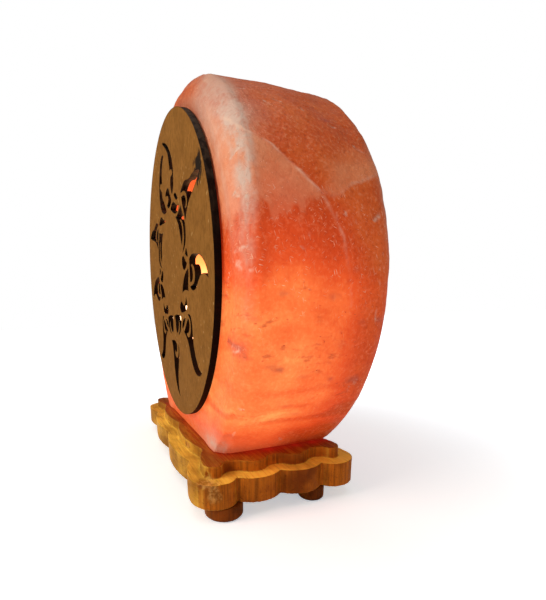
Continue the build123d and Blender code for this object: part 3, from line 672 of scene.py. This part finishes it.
lit = g.attr("glow")
frost_and_highlight_n = g.math("MULTIPLY", g.attr("frost_and_highlight"), g.mul(g.step(mott2, 0.30, 0.62, 0.72, 1.16), g.step(mott3, 0.34, 0.62, 0.84, 1.1)), clamp=True)
pale_n = g.mul(g.attr("pale"), g.step(mott2, 0.3, 0.7, 0.70, 1.1), clamp=True)
deep = g.ramp(mott, [(0.25, (0.56, 0.072, 0.010)), (0.48, (0.69, 0.110, 0.017)), (0.62, (0.77, 0.156, 0.030)), (0.8, (0.80, 0.22, 0.065))])
deep = g.mix(g.step(mott3, 0.50, 0.70, 0.0, 0.50), deep, (0.88, 0.34, 0.17))
deep = g.mix(g.step(mott3, 0.45, 0.28, 0.0, 0.45), deep, (0.34, 0.035, 0.008))
col = g.mix(g.mul(pale_n, 0.72), deep, (0.92, 0.44, 0.25))
# frost and the painted edge highlight: pale where unlit, painted pinker where the light comes through
col = g.mix(g.mul(frost_and_highlight_n, 0.95), col, g.mix(g.step(lit, 0.25, 0.7), (0.74, 0.55, 0.48), (0.56, 0.30, 0.24)))
col = g.mix(g.mul(g.attr("vein"), 0.85, clamp=True), col, (1.0, 0.70, 0.54))
col = g.mix(g.mul(g.attr("smudge"), 0.8), col, (0.20, 0.075, 0.085))
# where the light comes through, the base colour is painted a deep red glow, less so under the frost and edge highlight
col = g.mix(g.mul(g.step(lit, 0.1, 0.8), g.math("SUBTRACT", 0.70, g.mul(frost_and_highlight_n, 0.45))), col, (0.50, 0.05, 0.018))
high = g.step(g.xyz(g.co())["Z"], 0.150, 0.186)
col = g.mix(g.mul(high, 0.75), col, g.mix(g.step(mott2, 0.35, 0.65), (0.44, 0.058, 0.005), (0.58, 0.110, 0.016)))
col = g.mix(g.mul(g.mul(high, frost_and_highlight_n), 0.7), col, (0.60, 0.40, 0.32))
col = g.mix(g.attr("inside"), col, (0.62, 0.20, 0.09))
h1 = marks(210, 0.30, 8.0, 0.27, (0, 0, 0), 0.13)
h2 = marks(300, 1.25, 6.0, 0.27, (3, 1, 0), 0.13)
h3 = marks(420, 2.35, 5.0, 0.27, (7, 5, 0), 0.15)
hair_all = g.math("MAXIMUM", h1, g.math("MAXIMUM", h2, h3))
hair_all = g.mul(hair_all, g.step(g.mul(g.attr("hair"), g.step(g.noise(85, 3, 0.6), 0.35, 0.65, 0.35, 1.35)), 0.22, 0.60))
grains = g.mul(marks(600, 0.8, 1.9, 0.20, (2, 9, 0), 0.30, 0.0008), g.mul(g.step(lit, 0.75, 0.35), g.step(g.noise(120, 3, 0.6), 0.42, 0.62)))
flecks = g.math("MAXIMUM", hair_all, g.mul(grains, 0.7))
strength = g.step(g.noise(260, 2, 0.6), 0.38, 0.66, 0.10, 0.80)
col = g.mix(g.mul(g.attr("chip"), g.step(mott3, 0.35, 0.6, 0.1, 0.6)), col, (0.88, 0.62, 0.50))
col = g.mix(g.mul(flecks, strength), col, (1.0, 0.68, 0.50))
# small dark grains, along the block's layers where it glows
dg = g.math("MAXIMUM", g.mul(g.step(g.noise(300, 3, 0.65, v=g.scaled(g.co(), (0.5, 0.5, 1.5))), 0.53, 0.66), 0.75), marks(420, 1.5, 1.8, 0.26, (1, 8, 0), 0.16, 0.002))
dark_zone = g.mul(g.step(strat, 0.47, 0.60), g.step(g.noise(42, 3, 0.6), 0.42, 0.56))
dark = g.mul(dg, dark_zone)
dark = g.mul(dark, g.step(lit, 0.3, 0.6))
col = g.mix(g.mul(dark, 0.6), col, (0.24, 0.028, 0.014))

band = g.step(strat, 0.30, 0.72)
light = g.mul(lit, g.add(0.90, g.mul(g.math("SUBTRACT", band, 0.5), 0.15)))
light = g.mul(light, g.step(mott, 0.2, 0.8, 0.92, 1.08))
light = g.mul(light, g.step(mott3, 0.25, 0.75, 0.955, 1.045))
ecol = g.ramp(light, [(0.0, (0.0, 0.0, 0.0)), (0.12, (0.05, 0.0016, 0.0002)), (0.3, (0.17, 0.008, 0.001)), (0.46, (0.32, 0.022, 0.003)), (0.60, (0.50, 0.050, 0.008)),
                      (0.76, (0.71, 0.135, 0.030)), (0.90, (0.83, 0.222, 0.056)), (1.0, (0.88, 0.33, 0.088))])
ecol = g.mix(g.mul(g.mul(g.step(cx["Z"], 0.052, 0.030), g.step(cx["Y"], 0.018, -0.006)), 0.34), ecol, (0.68, 0.135, 0.040))
ecol = g.mix(g.mul(g.attr("smudge"), 0.78), ecol, (0.115, 0.020, 0.015))
ecol = g.mix(g.mul(frost_and_highlight_n, 0.8), ecol, g.mix(g.step(lit, 0.25, 0.85), (0.01, 0.003, 0.001), (0.50, 0.105, 0.052)))
ecol = g.mix(g.mul(dark, 0.66), ecol, (0.24, 0.022, 0.006))
ecol = g.mix(g.mul(g.mul(flecks, g.step(lit, 0.8, 0.4)), 0.22), ecol, (0.55, 0.10, 0.04))
cavc = g.ramp(g.attr("cav"), [(0.0, (0.05, 0.001, 0.0)), (0.18, (0.26, 0.008, 0.002)), (0.38, (0.66, 0.05, 0.010)), (0.6, (1.5, 0.50, 0.12)), (0.82, (2.2, 1.3, 0.5)), (1.0, (3.2, 2.5, 1.5))])
ecol = g.mix(g.attr("inside"), ecol, cavc)
g.set(Base_Color=col, Emission_Color=ecol, Emission_Strength=1.0)
rough = g.step(mott2, 0.3, 0.7, 0.34, 0.56)
rough = g.add(rough, g.mul(frost_and_highlight_n, 0.16))
rough = g.math("SUBTRACT", rough, g.mul(flecks, 0.14))
g.set(Roughness=rough, IOR=1.45, Specular_IOR_Level=0.2)
hgt = g.add(g.mul(mott2, 0.6), g.add(g.mul(mott3, 0.55), g.mul(flecks, -0.5)))
g.set(Normal=g.bump(hgt, 0.8, 0.0006))
finish_mesh(salt, g.mat, "root", ("salt_block",))

# ------------------------------------------------------------ wood
def wood(name, long_a, long_b, end_a, end_b, ledge, top, rough=(0.38, 0.6), seed=(0, 0, 0)):
    """Oiled wood with its grain along X; the end grain takes more oil, and on the base its darker end colours also
    carry painted shade.
    """
    g = Graph(name)
    co = g.scaled(g.co(), (1, 1, 1), loc=seed)
    n = g.xyz(g.normal())
    endm = g.step(g.math("ABSOLUTE", n["X"]), 0.35, 0.85)
    topm = g.step(g.math("ABSOLUTE", n["Z"]), 0.5, 0.9)
    rings = g.wave(2.2, v=g.scaled(co, (0.5, 26.0, 30.0)), distort=5.0, detail=3.0, dscale=0.8, direction="Y")
    fibre = g.noise(900, 4, 0.65, v=g.scaled(co, (0.05, 1.0, 1.0)))
    pores = g.step(g.noise(1500, 2, 0.5, v=g.scaled(co, (0.04, 1.0, 1.0))), 0.62, 0.72)
    blotch = g.noise(40, 4, 0.6, v=g.scaled(co, (0.5, 1.0, 1.0)))
    a = g.mix(g.mul(rings, 0.55), long_a, long_b)
    a = g.mix(g.step(fibre, 0.35, 0.7, 0.0, 0.35), a, long_b)
    saw = g.noise(560, 4, 0.7, v=g.scaled(co, (1.0, 1.0, 0.03)))
    e = g.mix(g.step(blotch, 0.35, 0.68), end_a, end_b)
    e = g.mix(g.step(saw, 0.46, 0.66, 0.0, 0.75), e, tuple(c * 0.40 for c in end_a))
    e = g.mix(g.step(saw, 0.44, 0.30, 0.0, 0.5), e, tuple(min(1.0, c * 1.7) for c in end_a))
    fleck = g.step(g.noise(1300, 3, 0.7), 0.60, 0.72)
    e = g.mix(g.mul(fleck, 0.35), e, tuple(c * 0.3 for c in end_a))
    side_a = g.mix(g.step(g.noise(620, 4, 0.7, v=g.scaled(co, (1.0, 1.0, 0.04))), 0.48, 0.66, 0.0, 0.45), a, tuple(c * 0.55 for c in long_b))
    # upward faces take their own colour by height, the ledge below and the upper top above; on the base these are
    # painted light and shade
    up_a = g.mix(g.step(g.xyz(g.co())["Z"], 0.0196, 0.0222), ledge, top)
    a = g.mix(topm, side_a, g.mix(g.step(fibre, 0.4, 0.62, 0.0, 0.45), up_a, a))
    col = g.mix(endm, a, e)
    col = g.mix(g.step(blotch, 0.44, 0.66, 0.0, 0.62), col, tuple(c * 0.55 for c in end_b))
    col = g.mix(g.mul(pores, 0.45), col, tuple(c * 0.25 for c in end_a))
    h = g.add(g.mix(endm, fibre, saw), g.add(g.mul(pores, -0.8), g.mul(fleck, -0.5)))
    g.set(Base_Color=col, Roughness=g.step(blotch, 0.3, 0.7, *rough), Normal=g.bump(h, 0.7, 0.0005), Specular_IOR_Level=0.08)
    return g


def rough_wood(node, name, voxel, smoothing, amp, seed, worn=()):
    """The CAD solid's shape with soft, knocked edges and an uneven cut."""
    o = remeshed(node, name, voxel * MM, smoothing, wrap=True)
    me = o.data
    P = coords(me) / MM
    N = normals(me)
    d = amp * fbm(P, 14.0, 3, seed) + 0.5 * amp * fbm(P, 3.0, 3, seed + 3)
    streak = P.copy()
    streak[:, 2] *= 0.06
    wall = 1 - np.abs(N[:, 2])
    d += amp * 0.55 * wall * vnoise(streak, 1.1, seed + 5)
    grain = P.copy()
    grain[:, 0] *= 0.05
    d += amp * 0.3 * (1 - wall) * vnoise(grain, 0.9, seed + 6)
    d = np.minimum(d - 0.9 * amp, -0.01)
    tear = np.zeros(len(P))
    for c, size, depth in worn:
        e = (P - np.array(c)) / np.array(size)
        w = smooth(1 - np.sqrt((e**2).sum(1)) + 0.35 * fbm(P, 3.0, 3, seed + 9), 0.0, 0.5)
        tear = np.maximum(tear, w)
        d -= depth * w * (0.55 + 0.75 * np.abs(fbm(P, 1.9, 3, seed + 11)) + 0.5 * smooth(vnoise(P, 1.3, seed + 12), 0.3, 0.8))
    flat = (P[:, 2] < 0.9) | ((N[:, 2] > 0.8) & (P[:, 2] > 23.2))
    d = np.where(flat & (tear < 0.1), np.minimum(d * 0.2, 0), d)
    set_coords(me, (P + N * d[:, None]) * MM)
    put_attr(me, "tear", tear)
    # red light from the block's lower edge on the board's top
    edge = np.hypot(np.maximum(np.abs(P[:, 0]) - 59.5, 0), np.maximum(np.abs(P[:, 1] - 8.0) - 31.0, 0))
    top = smooth(P[:, 2], 22.2, 23.6)
    put_attr(me, "red", np.exp(-((edge / 4.5) ** 2)) * top * (0.55 + 0.45 * smooth(P[:, 1], -24, 6)) * (0.8 + 0.4 * fbm(P, 5.0, 2, 3)))
    return o


base = rough_wood(
    "wood_base", "scalloped_base", 0.62, 3, 0.16, 400,
    worn=(((74.0, -35.0, 19.0), (7.0, 5.5, 3.2), 0.9), ((76.5, -33.5, 14.0), (5.0, 4.0, 6.0), 0.45), ((66.0, -37.5, 10.0), (9.0, 4.0, 3.2), 0.5),
          ((30.0, -34.0, 21.0), (5.0, 3.0, 2.0), 0.5), ((-60.0, 36.0, 18.8), (6.0, 4.0, 2.2), 0.6), ((76.0, 27.0, 20.5), (2.6, 2.6, 2.0), 0.5),
          ((-88.0, -22.0, 18.0), (4.0, 5.0, 2.2), 0.5)),
)
# on the base, the end colours carry painted shade of the walls turned from the key light, the ledge colour is a painted
# light from the lamp's glow, and the top colour is painted shade under the block
g = wood("base_wood", (0.80, 0.43, 0.055), (0.52, 0.200, 0.014), (0.60, 0.165, 0.010), (0.29, 0.058, 0.005), (1.0, 0.62, 0.085), (0.33, 0.074, 0.004), seed=(0.4, 0.1, 0.2))
tear = g.attr("tear")
old = g.p.inputs["Base Color"].links[0].from_socket
pit = g.noise(420, 4, 0.65)
tcol = g.mix(g.step(pit, 0.4, 0.6), rgb(140, 84, 30), rgb(206, 150, 82))
red = g.attr("red")
g.set(Base_Color=g.mix(g.mul(red, 0.92), g.mix(g.mul(tear, 0.8), old, tcol), (0.42, 0.008, 0.010)), Specular_IOR_Level=0.08)
# the block's glow on the step below its edge
step_lit = g.mul(g.step(g.xyz(g.normal())["Z"], 0.6, 0.9), g.step(g.xyz(g.co())["Z"], 0.0222, 0.0200))
glow_on = g.mix(step_lit, (0.0, 0.0, 0.0), (0.085, 0.022, 0.0012))
g.set(Emission_Color=g.mix(red, glow_on, (0.16, 0.006, 0.002)), Emission_Strength=1.0)
finish_mesh(base, g.mat, "root", ("wood_base",))

gf = wood("foot_wood", (0.30, 0.086, 0.008), (0.16, 0.038, 0.003), (0.28, 0.062, 0.005), (0.13, 0.028, 0.002), (0.2, 0.05, 0.005), (0.2, 0.05, 0.005), seed=(0.9, 0.3, 0.7))
for k, node in enumerate(("foot_front_right", "foot_rear_right", "foot_front_left", "foot_rear_left")):
    o = rough_wood(node, node + "_turned", 0.5, 2, 0.10, 500 + 7 * k)
    finish_mesh(o, gf.mat, "root", (node,))

# ------------------------------------------------------------ front panel
g = Graph("panel_board")
n = g.xyz(g.normal())
face = g.step(g.math("ABSOLUTE", n["Y"]), 0.5, 0.8)
fib = g.noise(700, 4, 0.6, v=g.scaled(g.co(), (1.0, 1.0, 0.6)))
clump = g.noise(110, 5, 0.65)
spk_d = g.step(g.voronoi(900), 0.16, 0.08)
spk_l = g.step(g.voronoi(520, v=g.scaled(g.co(), (1.0, 1.0, 0.4), rot=(0.2, 0.6, 0.1))), 0.17, 0.08)
tan = g.mix(g.step(clump, 0.3, 0.7), (0.235, 0.100, 0.0175), (0.300, 0.132, 0.027))
tan = g.mix(g.step(fib, 0.42, 0.66, 0.0, 0.6), tan, (0.17, 0.068, 0.011))
tan = g.mix(g.mul(spk_d, 0.5), tan, (0.06, 0.022, 0.005))
tan = g.mix(g.mul(spk_l, g.step(g.noise(60, 2, 0.5), 0.46, 0.58, 0.0, 0.8)), tan, (0.62, 0.40, 0.16))
bev = g.new("ShaderNodeBevel")
bev.samples = 6
bev.inputs["Radius"].default_value = 0.0006
tc = g.new("ShaderNodeVectorMath")
tc.operation = "DOT_PRODUCT"
geo = g.new("ShaderNodeNewGeometry")
g.t.links.new(bev.outputs[0], tc.inputs[0])
g.t.links.new(geo.outputs["True Normal"], tc.inputs[1])
edge = g.step(tc.outputs["Value"], 0.995, 0.86)
scorch = g.mul(edge, g.step(g.noise(260, 3, 0.6), 0.3, 0.6, 0.5, 1.0))
tan = g.mix(scorch, tan, (0.022, 0.009, 0.004))
char = g.mix(g.step(g.noise(500, 4, 0.6, v=g.scaled(g.co(), (1, 0.15, 1))), 0.4, 0.7), (0.0022, 0.0009, 0.0008), (0.008, 0.0022, 0.0013))
px = g.xyz(g.co())
du = g.mul(g.math("SUBTRACT", px["X"], 0.0590), 1 / 0.0062)
dv = g.mul(g.math("SUBTRACT", px["Z"], 0.1428), 1 / 0.0050)
soot = g.math("SQRT", g.add(g.mul(du, du), g.mul(dv, dv)))
soot = g.add(soot, g.mul(g.math("SUBTRACT", g.noise(700, 3, 0.7, v=g.scaled(g.co(), (1.0, 1.0, 0.35), rot=(0, 0.5, 0))), 0.5), 2.4))
tan = g.mix(g.step(soot, 1.1, 0.8, 0.0, 0.97), tan, (0.008, 0.006, 0.005))
# grey patches on the upper cut walls: dust, with a painted sheen where the edge catches the light
dust_and_sheen = g.mul(g.step(g.noise(420, 3, 0.6, v=g.scaled(g.co(), (1, 1, 0.35))), 0.40, 0.62), g.step(px["Z"], 0.105, 0.150))
char = g.mix(g.mul(dust_and_sheen, 0.55), char, (0.060, 0.046, 0.032))
col = g.mix(face, char, tan)
g.set(Specular_IOR_Level=0.07)
g.set(Base_Color=col, Roughness=g.mix(face, (0.58, 0.58, 0.58), (0.72, 0.72, 0.72)), Normal=g.bump(g.add(fib, g.mul(clump, 0.6)), 0.22, 0.00025))
MATS = {"sun_panel": g.mat}

# ------------------------------------------------------------ small parts


def plain(name, a, b, rough, metal=0.0, scale=300, bump=0.12, dist=0.0002, stretch=(1, 1, 1), **kw):
    """A finish with worn, uneven colour and a fine surface of its own."""
    g = Graph(name)
    co = g.scaled(g.co(), stretch)
    n1 = g.noise(scale, 4, 0.6, v=co)
    n2 = g.noise(scale * 0.12, 3, 0.55)
    col = g.mix(g.step(n1, 0.35, 0.7), a, b)
    col = g.mix(g.step(n2, 0.5, 0.75, 0.0, 0.35), col, tuple(c * 0.7 for c in b))
    g.set(Base_Color=col, Roughness=g.step(n2, 0.3, 0.7, rough - 0.06, rough + 0.08), Metallic=metal, Normal=g.bump(n1, bump, dist))
    for k, v in kw.items():
        g.put(v, g.p.inputs[k.replace("_", " ")])
    return g.mat


steel = plain("zinc_screws", rgb(196, 196, 190), rgb(168, 168, 160), 0.36, 1.0, 900)
clip = plain("clip_steel", rgb(200, 200, 202), rgb(176, 176, 180), 0.3, 1.0, 1200, stretch=(1, 0.1, 1))
brass = plain("contact_brass", rgb(214, 178, 104), rgb(190, 150, 80), 0.32, 1.0, 800)
black = plain("holder_plastic", rgb(26, 26, 27), rgb(36, 36, 37), 0.34, 0.0, 1500, bump=0.18)
cer = plain("holder_ceramic", rgb(226, 222, 210), rgb(206, 200, 186), 0.6, 0.0, 700)
pads = plain("adhesive_pads", rgb(214, 208, 190), rgb(190, 182, 160), 0.5, 0.0, 500)
plug = plain("plug_plastic", rgb(170, 172, 172), rgb(150, 152, 153), 0.5, 0.0, 900)
solder = plain("solder_tip", rgb(176, 176, 174), rgb(140, 140, 138), 0.42, 1.0, 900)
vitrite = plain("cap_insulator", rgb(28, 28, 34), rgb(44, 42, 52), 0.2, 0.0, 900)
capm = plain("bulb_cap_metal", rgb(206, 204, 196), rgb(182, 178, 166), 0.3, 1.0, 700)
wire = plain("lead_wire", rgb(170, 160, 148), rgb(138, 128, 116), 0.4, 1.0, 2000)
stem = plain("stem_glass", rgb(235, 236, 226), rgb(220, 218, 200), 0.12, 0.0, 400, IOR=1.5)

g = Graph("bulb_envelope")
zn = g.xyz(g.co())["Z"]
hot = g.step(zn, 0.052, 0.074)
cl = g.noise(220, 3, 0.5)
g.set(Base_Color=g.mix(g.step(cl, 0.3, 0.7), (0.30, 0.24, 0.16), (0.36, 0.30, 0.22)), Roughness=g.step(cl, 0.3, 0.7, 0.16, 0.24),
      Emission_Color=g.mix(hot, (0.95, 0.40, 0.11), (1.0, 0.72, 0.34)), Emission_Strength=1.0, Normal=g.bump(cl, 0.05, 0.0002))
glassm = g.mat
g = Graph("filament")
cl = g.wave(900, distort=0.5)
g.set(Base_Color=g.mix(cl, (0.9, 0.6, 0.3), (1, 0.8, 0.5)), Emission_Color=g.mix(cl, (1.0, 0.55, 0.2), (1.0, 0.75, 0.4)), Emission_Strength=20.0, Roughness=0.5)
filam = g.mat

MATS.update({
    "panel_adhesive": pads, "foot_screws": steel, "base_screws": steel, "salt_plugs": plug, "holder_end_cap": black, "holder_housing": black,
    "holder_core": cer, "threaded_shell": brass, "side_contact": brass, "centre_terminal": brass, "terminal_screws": steel, "centre_contact": brass,
    "contact_spring": clip, "clip_bracket": clip, "clip_pins": clip, "clip_wing_right": clip, "clip_wing_left": clip, "bulb_tip": solder,
    "bulb_insulator": vitrite, "bulb_cap": capm, "bulb_glass": glassm, "bulb_stem": stem, "bulb_leads": wire, "bulb_filament": filam,
})
for node, mat in MATS.items():
    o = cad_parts[node]
    if not o.material_slots:
        o.data.materials.append(mat)
    for s in o.material_slots:
        s.material = mat

# ------------------------------------------------------------ floor finish
g = Graph("floor")
fn = g.noise(3.0, 3, 0.5)
g.set(Base_Color=g.mix(fn, (0.90, 0.90, 0.90), (0.92, 0.92, 0.92)), Roughness=0.8, Specular_IOR_Level=0.1)
lp = g.new("ShaderNodeLightPath")
fp = g.xyz(g.co())
far = g.math("SQRT", g.add(g.mul(fp["X"], fp["X"]), g.mul(fp["Y"], fp["Y"])))
g.set(Emission_Color=g.mix(fn, (0.88, 0.95, 1.04), (0.88, 0.95, 1.03)), Emission_Strength=g.mul(lp.outputs["Is Camera Ray"], g.step(far, 0.10, 0.34, 0.48, 1.15)))
fm.materials.append(g.mat)
